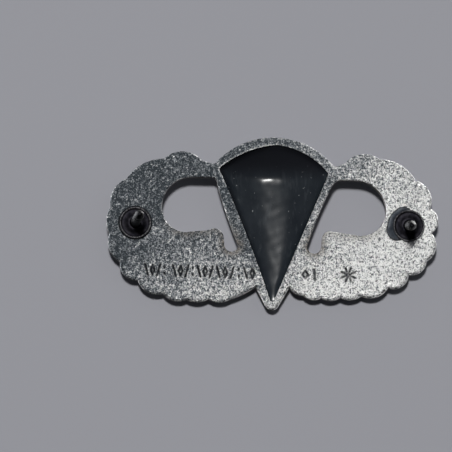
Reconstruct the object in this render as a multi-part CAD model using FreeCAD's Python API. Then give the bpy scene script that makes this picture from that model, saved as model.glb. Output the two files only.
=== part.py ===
"""A parachutist-style wings badge with its two clutch posts, in millimetres.

The badge stands upright as it is worn. +Z is up, +X is to the right of someone who looks at the
decorated front, and that front faces -Y. The flat back lies in the plane y = 0, and the origin is
midway between the two posts, which stand out of the back along +Y.
"""

import FreeCAD
import Part
import math
import os
from FreeCAD import Vector

# driving dimensions
WIDTH = 38.1            # across the wings: one and a half inches
DRAWN_WIDTH = 37.05     # the width at which the outlines below are drawn
SCALE = WIDTH / DRAWN_WIDTH
PLATE = 1.10            # thickness of the struck plate, from the flat back to its front
COVERT_RISE = 0.22      # how far the inner row of feathers stands above the outer row
ARM_RISE = 0.46         # how far the smooth arm of the wing stands above the outer row
COVERT_REACH = 0.52     # how far out the inner feathers reach, as a share of the outer ones
COVERT_BOW = 0.42       # bow of each inner feather's end, at the drawn width
FEATHER_GROOVE = 0.16   # depth of the grooves between feathers
OUTER_GROOVE_WIDTH = 0.34
INNER_GROOVE_WIDTH = 0.30
GROOVE_END = 1.05       # the outer grooves run this share of the way to the edge, so just past it
INNER_OVERRUN = 0.03    # the inner grooves run this much past the inner feathers' edge
OUTER_OVERRUN = 0.01    # and the outer grooves start this much inside it
CANOPY_RISE = 2.35      # height of the canopy's crown above the plate's front
RECESS_DEPTH = 2.30     # depth of the hollow in the back of the canopy
CROWN_FOOT = 1.10       # width of the crown at the plate, as a share of the hollow's outline
GORE_GROOVE = 0.14      # depth of the seams between the canopy's gores
SEAM_NARROWING = 0.012  # how much narrower the crown is, as a share, at the bottom of its seams
SEAM_WIDTH = 0.20
SKIRT_WIDTH = 0.25      # width of the groove along the canopy's skirt
POST_SPACING = 31.4     # from post to post
PAD_RADIUS = 1.82       # the disc that is soldered to the back
PAD_THICKNESS = 0.26
PAD_RIM = 0.12          # height and width of the raised edge of the disc
COLLAR_RADIUS = 1.08    # the low collar round the foot of the pin
COLLAR_FOOT = 0.27      # how far the collar flares out where it meets the disc
COLLAR_TOP = 0.50       # height of the collar above the badge's back
PIN_RADIUS = 0.55
PIN_LENGTH = 8.0        # from the badge's back to the tip
CLUTCH_GROOVE_START = 2.1   # the groove that the clutch grips, measured down from the tip
CLUTCH_GROOVE_END = 1.6
CLUTCH_GROOVE_DEPTH = 0.14
POINT_START = 0.95      # the pin narrows from here to its tip
TIP_RADIUS = 0.16
TIP_ROUNDING = 0.08
TANG_RADIUS = 0.36      # the reduced end of the pin, peened over under the disc
TANG_HEAD_RADIUS = 0.80
TANG_HEAD = 0.13        # thickness of the peened head
CLEARANCE = 0.01        # between the tang and its hole, on the radius
SOLDER = 0.06           # thickness of the film of solder under a disc
SOLDER_FOOT = 0.12      # how far the solder shows round the disc
BEYOND = 1.0            # how far a cutting shape reaches past the metal
PROUD = 0.02            # and a groove's cutter past the face it cuts

# Outlines in the X-Z plane at the drawn width, clockwise as seen from the front. Each entry is a corner
# and the bow of the edge that leaves it: how far the edge's middle stands to the left of a straight run.
RIGHT_WING_EDGE = [
    (6.43, 6.74, -0.10),
    (8.05, 7.15, 0.88),
    (12.10, 7.20, 0.62),
    (16.27, 4.93, 0.65),
    (18.04, 1.75, 0.38),
    (18.15, -1.30, 0.60),
    (16.90, -4.40, 0.70),
    (14.93, -6.40, 0.68),
    (12.10, -7.85, 0.50),
    (9.50, -8.50, 0.34),
    (7.07, -8.43, 0.36),
    (4.64, -8.46, 0.12),
]
POINT_EDGE = [
    (1.79, -7.03, 0.0),
    (0.72, -9.05, 0.55),
    (-0.84, -9.02, 0.0),
]
LEFT_WING_EDGE = [
    (-2.00, -7.03, 0.27),
    (-3.50, -7.93, 0.36),
    (-5.50, -8.20, 0.33),
    (-7.64, -8.14, 0.36),
    (-10.00, -7.93, 0.62),
    (-13.00, -7.00, 0.70),
    (-15.33, -5.47, 0.58),
    (-17.33, -3.93, 0.78),
    (-17.87, -0.80, 0.80),
    (-17.67, 2.00, 0.82),
    (-16.00, 5.07, 0.66),
    (-12.00, 7.40, 0.78),
    (-8.20, 7.00, -0.08),
]
CANOPY_EDGE = [(-6.86, 6.54, 3.08)]
RIGHT_LOOP = [
    (6.60, 5.15, 0.0),
    (9.30, 5.17, 1.0),
    (12.27, 1.50, 0.70),
    (9.60, -0.98, -0.03),
    (7.40, -0.78, 0.02),
    (6.60, -0.50, -0.38),
    (5.38, -1.70, 0.0),
    (5.30, -2.40, 0.66),
    (3.75, -2.45, -0.12),
    (6.15, 4.45, 0.15),
]
LEFT_LOOP = [
    (-12.80, 1.40, 1.05),
    (-9.30, 4.98, 0.04),
    (-7.40, 4.98, 0.05),
    (-6.78, 4.55, 0.17),
    (-3.93, -2.45, 0.78),
    (-5.54, -2.45, 0.0),
    (-5.60, -1.60, -0.28),
    (-6.50, -0.70, 0.0),
    (-9.30, -1.12, 0.95),
]
RECESS_EDGE = [
    (-6.05, 6.00, 0.60),
    (-0.40, 8.88, 0.47),
    (5.60, 6.50, 0.15),
    (5.85, 5.85, -0.18),
    (0.20, -8.35, 0.30),
    (-0.35, -8.35, 0.0),
    (-6.15, 5.40, 0.12),
]
# where each feather's root lies, for the corners between the feathers of that wing's edge
RIGHT_ROOTS = [(11.3, 5.1), (13.1, 3.6), (13.5, 1.6), (13.2, -0.2), (12.3, -1.6), (10.8, -2.4),
               (9.3, -2.6), (7.8, -2.9), (6.3, -3.3), (4.6, -3.9)]
LEFT_ROOTS = [(-4.2, -4.1), (-5.8, -3.3), (-7.4, -2.9), (-9.2, -2.7), (-11.3, -2.4), (-12.9, -1.6),
              (-13.8, -0.6), (-14.2, 0.8), (-14.0, 2.3), (-13.2, 4.0), (-11.0, 5.2)]
# the smooth arms along the top of each wing and round its loop
RIGHT_ARM = [
    (6.3, 6.3, 0.1),
    (9.6, 6.1, 1.9),
    (13.1, 1.4, 1.9),
    (9.4, -2.0, 0.0),
    (5.6, -3.4, 0.0),
    (4.4, -3.0, 0.0),
    (8.8, 2.0, 0.0),
]
LEFT_ARM = [
    (-8.8, 2.0, 0.0),
    (-4.2, -3.2, 0.0),
    (-5.6, -3.5, 0.0),
    (-9.6, -2.1, 1.9),
    (-13.6, 1.6, 1.9),
    (-9.8, 5.9, 0.1),
    (-6.6, 6.1, 0.0),
]
RIGHT_COVERTS_CLOSE = [(9.0, 2.0)]      # where each inner row's outline closes, inside its loop
LEFT_COVERTS_CLOSE = [(-9.0, 2.0)]
RECESS_CENTRE = (-0.2, 4.3)     # the hollow and the crown narrow towards this point
POINT = (-0.1, -9.3)            # where the suspension lines meet
LINES_REACH = 2.0               # how far from there the lines start
# the skirt of the canopy and its seams are struck from the badge's point
SKIRT_REACH = 12.3
SEAM_REACH = 19.0
SEAM_ANGLES = [-21.5, -14.5, -7.2, 0.0, 7.2, 14.5, 21.5]
SKIRT_BOW = -0.45               # each gore's lower edge rises between two seams
# height above the plate's front and the crown's width there, as a share of the hollow's outline
CROWN_STAGES = [(0.40, 1.08), (1.20, 0.92), (1.90, 0.66), (CANOPY_RISE, 0.34)]
# depth from the back and the hollow's width there, starting just outside the back
RECESS_STAGES = [(-0.05, 1.005), (0.0, 1.0), (0.85, 0.94), (1.60, 0.76), (RECESS_DEPTH, 0.40)]
SOLDER_SPILL = [(-15.45, 1.75, 0.12), (-14.75, 2.18, 0.10), (-13.85, 1.80, 0.22), (-12.88, 0.10, 0.32),
                (-13.35, -1.50, 0.12), (-14.25, -1.65, 0.0), (-16.00, 0.00, 0.0)]


def place(x, z, y=0.0):
    """The real place of a drawn point: x to the right and z up, at the real depth y."""
    return Vector(x * SCALE, y, z * SCALE)


def bowed_edge(start, end, bow, y):
    """An arc from start to end whose middle stands bow to the left, or a straight edge."""
    first = place(start[0], start[1], y)
    last = place(end[0], end[1], y)
    if bow == 0:
        return Part.LineSegment(first, last).toShape()
    across = place(start[1] - end[1], end[0] - start[0]).normalize()
    middle = (first + last) * 0.5 + across * bow * SCALE
    return Part.Arc(first, middle, last).toShape()


def outline(corners, y=0.0):
    """A closed wire in the plane at depth y through a list of corners with bows."""
    following = corners[1:] + corners[:1]
    edges = [bowed_edge(a[:2], b[:2], a[2], y) for a, b in zip(corners, following)]
    return Part.Wire(edges)


def drawn_in(corners, centre, share):
    """The same outline scaled about a centre, bows included."""
    cx, cz = centre
    return [(cx + (x - cx) * share, cz + (z - cz) * share, bow * share) for x, z, bow in corners]


def slab(corners, back, front):
    """A plate of this outline between two depths, back being the larger y."""
    return Part.Face(outline(corners, back)).extrude(Vector(0, front - back, 0))


def lofted(corners, centre, stages):
    """A solid through scaled copies of one outline: stages are pairs of depth and scale."""
    wires = [outline(drawn_in(corners, centre, share), y) for y, share in stages]
    return Part.makeLoft(wires, True, True)


def badge_outline():
    """The whole outer edge, clockwise from the right wing's join with the canopy."""
    return RIGHT_WING_EDGE + POINT_EDGE + LEFT_WING_EDGE + CANOPY_EDGE


def between(a, b, share):
    """The point at this share of the way from a to b."""
    return (a[0] + (b[0] - a[0]) * share, a[1] + (b[1] - a[1]) * share)


def covert_outline(edge, roots, closing):
    """The inner row of feathers: corners part of the way out from the roots, closed inside the loop."""
    corners = []
    for i, (tip, root) in enumerate(zip(edge, roots)):
        x, z = between(root, tip, COVERT_REACH)
        corners.append((x, z, COVERT_BOW if i < len(roots) - 1 else 0.0))
    return corners + [(x, z, 0.0) for x, z in closing]


def groove(a, b, front, width, depth):
    """A V groove in the front face from a to b, sunk by depth below the given front."""
    along = place(b[0] - a[0], b[1] - a[1])
    length = along.Length
    along.normalize()
    across = Vector(along.z, 0, -along.x)
    start = place(a[0], a[1], front)
    proud = Vector(0, -PROUD, 0)
    sunk = Vector(0, depth, 0)
    corners = [start + across * (width / 2) + proud, start - across * (width / 2) + proud, start + sunk]
    section = Part.Face(Part.makePolygon(corners + corners[:1]))
    return section.extrude(along * length)


def feather_grooves(edge, roots):
    """The grooves between the outer feathers and between the inner ones of one wing."""
    cuts = []
    for tip, root in zip(edge, roots):
        outer_start = between(root, tip, COVERT_REACH - OUTER_OVERRUN)
        inner_end = between(root, tip, COVERT_REACH + INNER_OVERRUN)
        outer_end = between(root, tip, GROOVE_END)
        cuts.append(groove(outer_start, outer_end, -PLATE, OUTER_GROOVE_WIDTH, FEATHER_GROOVE))
        cuts.append(groove(root, inner_end, -PLATE - COVERT_RISE, INNER_GROOVE_WIDTH, FEATHER_GROOVE))
    return cuts


def wing_relief(edge, roots, closing, arm_corners):
    """The raised inner feathers and the smooth arm of one wing, before its grooves."""
    coverts = slab(covert_outline(edge, roots, closing), 0.0, -PLATE - COVERT_RISE)
    arm = slab(arm_corners, 0.0, -PLATE - ARM_RISE)
    return coverts, arm


def crown(lower, narrower):
    """The canopy's crown and the fan of lines below it, or the same shape a little lower and narrower."""
    stages = [(0.0, CROWN_FOOT - narrower)]
    for rise, share in CROWN_STAGES:
        stages.append((-PLATE - rise + lower, share - narrower))
    return lofted(RECESS_EDGE, RECESS_CENTRE, stages)


def recess():
    """The hollow in the back of the canopy: steep walls and a floor that deepens to the middle."""
    return lofted(RECESS_EDGE, RECESS_CENTRE, [(-depth, share) for depth, share in RECESS_STAGES])


def from_point(angle, reach):
    """The drawn point at this reach from the badge's point, at an angle in degrees from upright."""
    turn = math.radians(angle)
    return (POINT[0] + reach * math.sin(turn), POINT[1] + reach * math.cos(turn))


def thin_band(a, b, bow, width):
    """A thin wall through the whole crown, along a straight or bowed run from a to b."""
    along = place(b[0] - a[0], b[1] - a[1]).normalize()
    sx = -along.z * width / 2
    sz = along.x * width / 2
    corners = [
        (a[0] - sx, a[1] - sz, bow),
        (b[0] - sx, b[1] - sz, 0.0),
        (b[0] + sx, b[1] + sz, -bow),
        (a[0] + sx, a[1] + sz, 0.0),
    ]
    return slab(corners, 0.0, -PLATE - CANOPY_RISE - BEYOND)


def canopy_seams():
    """The gores' seams, the lines below them and the scalloped skirt, sunk evenly into the crown."""
    bands = []
    for angle in SEAM_ANGLES:
        low = from_point(angle, LINES_REACH)
        high = from_point(angle, SEAM_REACH)
        bands.append(thin_band(low, high, 0.0, SEAM_WIDTH))
    for left_angle, right_angle in zip(SEAM_ANGLES, SEAM_ANGLES[1:]):
        start = from_point(right_angle, SKIRT_REACH)
        end = from_point(left_angle, SKIRT_REACH)
        bands.append(thin_band(start, end, SKIRT_BOW, SKIRT_WIDTH))
    skin = crown(0.0, 0.0).cut(crown(GORE_GROOVE, SEAM_NARROWING))
    return Part.makeCompound([band.common(skin) for band in bands])


def badge_body():
    """The die-struck body: plate, feathers, arms and canopy in one piece, with its loops and recess."""
    whole = badge_outline()
    reach = slab(whole, 0.0, -PLATE - CANOPY_RISE - BEYOND)
    body = slab(whole, 0.0, -PLATE)
    right_edge = RIGHT_WING_EDGE[2:]
    left_edge = LEFT_WING_EDGE[1:]
    right_inner, right_smooth = wing_relief(right_edge, RIGHT_ROOTS, RIGHT_COVERTS_CLOSE, RIGHT_ARM)
    left_inner, left_smooth = wing_relief(left_edge, LEFT_ROOTS, LEFT_COVERTS_CLOSE, LEFT_ARM)
    relief = right_inner.multiFuse([right_smooth, left_inner, left_smooth])
    body = body.fuse(relief.common(reach))
    grooves = feather_grooves(right_edge, RIGHT_ROOTS) + feather_grooves(left_edge, LEFT_ROOTS)
    body = body.cut(Part.makeCompound(grooves))
    body = body.fuse(crown(0.0, 0.0).common(reach))
    body = body.cut(canopy_seams())
    for loop in (RIGHT_LOOP, LEFT_LOOP):
        body = body.cut(slab(loop, BEYOND, -PLATE - CANOPY_RISE - BEYOND))
    return body.cut(recess()).removeSplitter()


def turned(profile, x):
    """A solid of revolution about a post's axis at this x: profile is radius and height pairs."""
    points = [Vector(radius, height, 0) for radius, height in profile]
    section = Part.Face(Part.makePolygon(points + points[:1]))
    shape = section.revolve(Vector(0, 0, 0), Vector(0, 1, 0), 360)
    shape.translate(Vector(x, 0, 0))
    return shape


def pad(x):
    """The stamped disc with its raised edge, a low collar and a counterbored hole for the pin."""
    hole = TANG_RADIUS + CLEARANCE
    counterbore = TANG_HEAD_RADIUS + CLEARANCE
    counterbore_top = SOLDER + TANG_HEAD + CLEARANCE
    base = SOLDER
    top = base + PAD_THICKNESS
    profile = [
        (counterbore, base),
        (PAD_RADIUS, base),
        (PAD_RADIUS, top + PAD_RIM),
        (PAD_RADIUS - PAD_RIM, top + PAD_RIM),
        (PAD_RADIUS - 2 * PAD_RIM, top),
        (COLLAR_RADIUS + COLLAR_FOOT, top),
        (COLLAR_RADIUS, (top + COLLAR_TOP) / 2),
        (COLLAR_RADIUS - COLLAR_FOOT / 4, COLLAR_TOP),
        (hole, COLLAR_TOP),
        (hole, counterbore_top),
        (counterbore, counterbore_top),
    ]
    return turned(profile, x)


def pin(x):
    """The post: peened tang, shouldered shank, a groove that the clutch grips, and a pointed tip."""
    groove_bottom = PIN_LENGTH - CLUTCH_GROOVE_START
    groove_top = PIN_LENGTH - CLUTCH_GROOVE_END
    profile = [
        (0, SOLDER),
        (TANG_HEAD_RADIUS, SOLDER),
        (TANG_HEAD_RADIUS, SOLDER + TANG_HEAD),
        (TANG_RADIUS, SOLDER + TANG_HEAD),
        (TANG_RADIUS, COLLAR_TOP),
        (PIN_RADIUS, COLLAR_TOP),
        (PIN_RADIUS, groove_bottom),
        (PIN_RADIUS - CLUTCH_GROOVE_DEPTH, (groove_bottom + groove_top) / 2),
        (PIN_RADIUS, groove_top),
        (PIN_RADIUS, PIN_LENGTH - POINT_START),
        (TIP_RADIUS, PIN_LENGTH - TIP_ROUNDING),
        (0.0, PIN_LENGTH),
    ]
    return turned(profile, x)


def solder(x, spill=None):
    """The film of solder under a disc, with a low fillet round it and perhaps a spill beside it."""
    film = turned([(0, 0), (PAD_RADIUS + SOLDER_FOOT, 0), (PAD_RADIUS, SOLDER), (0, SOLDER)], x)
    if spill:
        film = film.fuse(slab(spill, SOLDER, 0.0))
    return film.removeSplitter()


def build():
    """Every node of the badge by name."""
    half = POST_SPACING / 2
    return {
        "badge_body": badge_body(),
        "left_pad": pad(-half),
        "right_pad": pad(half),
        "left_pin": pin(-half),
        "right_pin": pin(half),
        "left_solder": solder(-half, SOLDER_SPILL),
        "right_solder": solder(half),
    }


os.makedirs("parts", exist_ok=True)
for name, shape in build().items():
    print(name, shape.ShapeType, "solids", len(shape.Solids), "valid", shape.isValid(),
          "volume", round(shape.Volume, 3), shape.BoundBox)
    shape.exportStep("parts/" + name + ".step")
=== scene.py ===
import math
import bpy
import numpy as np
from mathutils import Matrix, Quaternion, Vector, kdtree
from mathutils.geometry import delaunay_2d_cdt


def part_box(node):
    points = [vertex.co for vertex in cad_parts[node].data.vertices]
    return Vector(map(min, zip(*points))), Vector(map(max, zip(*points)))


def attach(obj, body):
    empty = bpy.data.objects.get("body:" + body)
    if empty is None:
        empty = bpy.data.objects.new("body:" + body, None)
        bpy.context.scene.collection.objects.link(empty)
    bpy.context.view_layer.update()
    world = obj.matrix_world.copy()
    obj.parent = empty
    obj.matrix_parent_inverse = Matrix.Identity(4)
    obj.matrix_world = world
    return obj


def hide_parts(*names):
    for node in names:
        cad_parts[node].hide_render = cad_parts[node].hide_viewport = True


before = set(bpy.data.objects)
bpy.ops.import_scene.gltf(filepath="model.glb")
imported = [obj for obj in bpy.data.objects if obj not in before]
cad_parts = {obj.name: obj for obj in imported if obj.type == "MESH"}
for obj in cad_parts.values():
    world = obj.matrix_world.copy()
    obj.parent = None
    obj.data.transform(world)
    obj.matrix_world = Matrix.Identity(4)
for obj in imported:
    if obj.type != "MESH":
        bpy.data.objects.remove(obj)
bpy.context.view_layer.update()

# A wings badge seen from behind, with its two clutch posts. +Z is up, the back faces +Y and the
# decorated front faces -Y. Lengths are in millimetres until a mesh is made, and then in metres.
MM = 0.001
DRAWN_WIDTH = 37.05  # the badge's width in the units of the outlines below
BODY_LOW, BODY_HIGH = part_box("badge_body")
SCALE = (BODY_HIGH.x - BODY_LOW.x) / MM / DRAWN_WIDTH
FRONT = -BODY_LOW.y / MM  # how far the crown stands in front of the flat back
RANDOM = np.random.default_rng(11)

PLATE = 1.10  # thickness of the wings without their relief
COVERT_RISE = 0.22  # of the inner row of feathers above the outer one
COVERT_REACH = 0.52  # the share of each feather that the inner row covers
ARM_RISE = 0.46  # of the wing's arm above the plate
CANOPY_RISE = FRONT - PLATE  # of the crown above the plate
BACK_ROUNDING = 0.22  # radii of the rounded edges
FRONT_ROUNDING = 0.30
HOLLOW_ROUNDING = 0.10
FAR = 9.0  # further off, or lower, than anything on the badge

STEP = 0.135  # spacing of the mesh's points
EDGE_RINGS = (0.05, 0.11, 0.18, 0.27)  # rows of points inside every edge
RECESS_RINGS = (0.07, 0.15, 0.25, 0.37, 0.50)  # and inside the edge of the hollow
RECESS_OUTER_RINGS = (0.05, 0.10)
RING_SLACK = 0.93  # a ring's point nearer an edge than this share of its offset goes
ROW_GAP = 0.045  # the least spacing between the rows' points
EDGE_GAP = 0.035  # and between them and an edge
FIELD_GAP = 0.62  # and between them and the field, as a share of its spacing
MERGE = 1e-7  # points closer than this would be taken as one

# The same outlines as the CAD model's, clockwise from the front: corner x, z and the bow of the
# edge that leaves it, to the left of its run.
RIGHT_WING_EDGE = [
    (6.43, 6.74, -0.10), (8.05, 7.15, 0.88), (12.10, 7.20, 0.62), (16.27, 4.93, 0.65),
    (18.04, 1.75, 0.38), (18.15, -1.30, 0.60), (16.90, -4.40, 0.70), (14.93, -6.40, 0.68),
    (12.10, -7.85, 0.50), (9.50, -8.50, 0.34), (7.07, -8.43, 0.36), (4.64, -8.46, 0.12),
]
POINT_EDGE = [
    (1.79, -7.03, 0.0), (0.72, -9.05, 0.55), (-0.84, -9.02, 0.0),
]
LEFT_WING_EDGE = [
    (-2.00, -7.03, 0.27), (-3.50, -7.93, 0.36), (-5.50, -8.20, 0.33), (-7.64, -8.14, 0.36),
    (-10.00, -7.93, 0.62), (-13.00, -7.00, 0.70), (-15.33, -5.47, 0.58), (-17.33, -3.93, 0.78),
    (-17.87, -0.80, 0.80), (-17.67, 2.00, 0.82), (-16.00, 5.07, 0.66), (-12.00, 7.40, 0.78),
    (-8.20, 7.00, -0.08),
]
CANOPY_EDGE = [(-6.86, 6.54, 3.08)]
RIGHT_LOOP = [
    (6.60, 5.15, 0.0), (9.30, 5.17, 1.0), (12.27, 1.50, 0.70), (9.60, -0.98, -0.03),
    (7.40, -0.78, 0.02), (6.60, -0.50, -0.38), (5.38, -1.70, 0.0), (5.30, -2.40, 0.66),
    (3.75, -2.45, -0.12), (6.15, 4.45, 0.15),
]
LEFT_LOOP = [
    (-12.80, 1.40, 1.05), (-9.30, 4.98, 0.04), (-7.40, 4.98, 0.05), (-6.78, 4.55, 0.17),
    (-3.93, -2.45, 0.78), (-5.54, -2.45, 0.0), (-5.60, -1.60, -0.28), (-6.50, -0.70, 0.0),
    (-9.30, -1.12, 0.95),
]
RECESS_EDGE = [
    (-6.05, 6.00, 0.60), (-0.40, 8.88, 0.47), (5.60, 6.50, 0.15), (5.85, 5.85, -0.18),
    (0.20, -8.35, 0.30), (-0.35, -8.35, 0.0), (-6.15, 5.40, 0.12),
]
# the feathers' corners on the outer edge and their roots, in the same order
RIGHT_TIPS = [corner[:2] for corner in RIGHT_WING_EDGE[1:]] + [(1.79, -7.03)]
RIGHT_ROOTS = [(9.3, 5.7), (11.3, 5.1), (13.1, 3.6), (13.5, 1.6), (13.2, -0.2), (12.3, -1.6),
               (10.8, -2.4), (9.3, -2.6), (7.8, -2.9), (6.3, -3.3), (4.6, -3.9), (3.0, -4.9)]
LEFT_TIPS = [corner[:2] for corner in LEFT_WING_EDGE]
LEFT_ROOTS = [(-3.0, -4.9), (-4.2, -4.1), (-5.8, -3.3), (-7.4, -2.9), (-9.2, -2.7), (-11.3, -2.4),
              (-12.9, -1.6), (-13.8, -0.6), (-14.2, 0.8), (-14.0, 2.3), (-13.2, 4.0), (-11.0, 5.2),
              (-9.3, 5.7)]
RIGHT_ARM = [(6.3, 6.3, 0.1), (9.6, 6.1, 1.9), (13.1, 1.4, 1.9), (9.4, -2.0, 0.0), (5.6, -3.4, 0.0),
             (4.4, -3.0, 0.0), (8.8, 2.0, 0.0)]
LEFT_ARM = [(-8.8, 2.0, 0.0), (-4.2, -3.2, 0.0), (-5.6, -3.5, 0.0), (-9.6, -2.1, 1.9),
            (-13.6, 1.6, 1.9), (-9.8, 5.9, 0.1), (-6.6, 6.1, 0.0)]
RIGHT_ARM_MIDDLE = (8.9, 1.9)  # the points that the arms' rows of scales curl round
LEFT_ARM_MIDDLE = (-9.0, 1.9)
RECESS_CENTRE = (-0.2, 4.3)
POINT = (-0.1, -9.3)  # where the canopy's seams and lines would meet
SKIRT_REACH = 12.3  # from there to the canopy's lower edge
SEAM_ANGLES = [-21.5, -14.5, -7.2, 0.0, 7.2, 14.5, 21.5]
GORE_ANGLE = 7.2
PANEL_SEAMS = (14.3, 16.2)  # from the point to the seams across the gores
CANOPY_SHARE = 1.13  # how much larger the canopy is than the hollow behind it
SOLDER_SPILL = [(-15.45, 1.75, 0.12), (-14.75, 2.18, 0.10), (-13.85, 1.80, 0.22), (-12.88, 0.10, 0.32),
                (-13.35, -1.50, 0.12), (-14.25, -1.65, 0.0), (-16.00, 0.00, 0.0)]


# ---- outlines and distances
def bowed_run(start, end, bow, step):
    """Points along one bowed edge from its start to just before its end."""
    run = np.subtract(end, start)
    chord = math.hypot(*run)
    count = max(2, math.ceil(chord / step))
    share = np.arange(count) / count
    along = share * chord
    aside = np.zeros(count)
    if bow:
        half = 2 * math.atan(2 * bow / chord)
        angle = (2 * share - 1) * half
        along = chord / 2 * (1 + np.sin(angle) / math.sin(half))
        aside = chord / 2 * (np.cos(angle) - math.cos(half)) / math.sin(half)
    ahead = run / chord
    left = np.array([-ahead[1], ahead[0]])
    return np.array(start) + along[:, None] * ahead + aside[:, None] * left


def loop_points(corners, step):
    """A closed outline as real points, spaced by about this step."""
    following = corners[1:] + corners[:1]
    runs = [bowed_run(a[:2], b[:2], a[2], step / SCALE) for a, b in zip(corners, following)]
    return np.concatenate(runs) * SCALE


def tree_of(points):
    """A search tree over points of the plane."""
    tree = kdtree.KDTree(len(points))
    for i, (x, z) in enumerate(points):
        tree.insert((x, z, 0), i)
    tree.balance()
    return tree


def distance_to(tree, points):
    """How far each point is from the tree's nearest point."""
    return np.array([tree.find((x, z, 0))[2] for x, z in points])


def within(points, loop):
    """Whether each point lies inside a closed loop."""
    x, z = points.T
    result = np.zeros(len(points), bool)
    for (x0, z0), (x1, z1) in zip(loop, np.roll(loop, -1, 0)):
        if z0 == z1:
            continue
        crossed = (z0 > z) != (z1 > z)
        result ^= crossed & (x < (x1 - x0) * (z - z0) / (z1 - z0) + x0)
    return result


def ramp(value, low, high):
    """0 below low, 1 above high and a smooth rise between them."""
    share = np.clip((value - low) / (high - low), 0, 1)
    return share * share * (3 - 2 * share)


def ridge(distance, width):
    """A soft bell of height 1 over distance 0."""
    return np.exp(-(distance / width) ** 2)


def fallen(distance, radius):
    """How far a rounded edge of this radius has dropped at a distance from it."""
    return radius - np.sqrt(radius ** 2 - np.clip(radius - distance, 0, radius) ** 2)


def to_segment(points, start, end):
    """How far each point is from a straight run."""
    start = np.array(start)
    run = np.subtract(end, start)
    share = np.clip(((points - start) @ run) / (run @ run), 0, 1)
    return np.hypot(*(points - start - share[:, None] * run).T)


OUTLINE = RIGHT_WING_EDGE + POINT_EDGE + LEFT_WING_EDGE + CANOPY_EDGE
LOOPS = [loop_points(corners, STEP) for corners in (OUTLINE, RIGHT_LOOP, LEFT_LOOP)]
RECESS = loop_points(RECESS_EDGE, STEP)
FINE = 0.04  # spacing of the points that distances are taken from
OUTLINE_TREE = tree_of(loop_points(OUTLINE, FINE))
EDGE_TREE = tree_of(np.concatenate([loop_points(c, FINE) for c in (OUTLINE, RIGHT_LOOP, LEFT_LOOP)]))
RECESS_TREE = tree_of(loop_points(RECESS_EDGE, FINE))


def in_metal(points):
    """Whether each point lies inside the outline and outside both loops."""
    outer, right, left = LOOPS
    return within(points, outer) & ~within(points, right) & ~within(points, left)


def ring(loop, tree, offset):
    """Points at this distance inside a clockwise loop, or outside it if negative."""
    tangent = np.roll(loop, -1, 0) - np.roll(loop, 1, 0)
    tangent /= np.hypot(*tangent.T)[:, None]
    points = loop + np.stack([tangent[:, 1], -tangent[:, 0]], 1) * offset
    return points[distance_to(tree, points) > abs(offset) * RING_SLACK]


def edge_rings():
    """Close rows of points along every edge, so that the edges can be rounded."""
    outer, right, left = LOOPS
    rows = [ring(outer, EDGE_TREE, d) for d in EDGE_RINGS]
    rows += [ring(loop, EDGE_TREE, -d) for loop in (right, left) for d in EDGE_RINGS]
    return np.concatenate(rows)


def grid(step):
    """A field of points in staggered rows over the whole badge."""
    low, high = LOOPS[0].min(0), LOOPS[0].max(0)
    rows = np.arange(low[1], high[1], step * math.sqrt(3) / 2)
    columns = np.arange(low[0], high[0], step)
    x, z = np.meshgrid(columns, rows)
    x[1::2] += step / 2
    points = np.stack([x.ravel(), z.ravel()], 1)
    return points + RANDOM.uniform(-0.1, 0.1, points.shape) * step


# ---- the hollow's floor
FLOOR_STEP = 0.16
FLOOR_ROUNDS = 1500  # enough for the membrane to settle
SLIVER = 0.02  # rows whose membrane is flatter than this share keep it low


def hollow_floor():
    """A membrane over the hollow's outline, 0 at its edge and 1 in the middle of each row."""
    low, high = RECESS.min(0) - 0.5, RECESS.max(0) + 0.5
    x, z = np.meshgrid(np.arange(low[0], high[0], FLOOR_STEP), np.arange(low[1], high[1], FLOOR_STEP))
    free = within(np.stack([x.ravel(), z.ravel()], 1), RECESS).reshape(x.shape)
    height = np.zeros(x.shape)
    for _ in range(FLOOR_ROUNDS):
        around = height[:-2, 1:-1] + height[2:, 1:-1] + height[1:-1, :-2] + height[1:-1, 2:]
        height[1:-1, 1:-1] = np.where(free[1:-1, 1:-1], around / 4 + 1, 0)
    widest = np.maximum(height.max(1, keepdims=True), SLIVER * height.max())
    return low, height / widest


def sampled(low, values, step, points):
    """Grid values at each point, blended between the four nearest."""
    place = (points - low) / step
    place = np.clip(place, 0, np.array(values.shape[::-1]) - 1.001)
    column, row = place.astype(int).T
    across, up = (place - place.astype(int)).T
    below = values[row, column] * (1 - across) + values[row, column + 1] * across
    above = values[row + 1, column] * (1 - across) + values[row + 1, column + 1] * across
    return below * (1 - up) + above * up


FLOOR_LOW, FLOOR = hollow_floor()
# the depth of the hollow along its middle, by height: straight up from the point, then round
MIDDLE_DEPTH = [(-8.9, 0.0), (-8.4, 0.04), (5.30, 2.24), (5.8, 2.24), (6.7, 1.96), (7.5, 1.50),
                (8.4, 0.88), (9.1, 0.30), (9.3, 0.0)]
CORNER_SPREAD = 0.60  # how far each of that line's corners is smoothed to either side
SKEW = 0.032  # how much deeper the hollow is towards +X, per millimetre
DISH = 0.011  # how quickly its floor rises to either side of its middle
DISH_MIDDLE = 0.5
WALL_REACH = 0.60  # width of the steep wall inside the hollow's edge


def middle_depth(z):
    """Depth along the hollow's middle, with its corners rounded."""
    heights, depths = zip(*MIDDLE_DEPTH)
    spread = np.linspace(-CORNER_SPREAD, CORNER_SPREAD, 9)
    return np.mean([np.interp(z + shift, heights, depths) for shift in spread], 0)


def hollow_depth(points, gap):
    """Depth of the hollow: a steep wall, then a floor that slopes evenly up to the point."""
    share = np.clip(sampled(FLOOR_LOW, FLOOR, FLOOR_STEP, points), 0, 1)
    wall = 1 - (1 - np.clip(gap / WALL_REACH, 0, 1)) ** 2
    across = 0.45 * wall + 0.55 * (1 - (1 - share) ** 1.6)
    x = points[:, 0]
    return middle_depth(points[:, 1]) * across * (1 + SKEW * x - DISH * (x - DISH_MIDDLE) ** 2)


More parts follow.
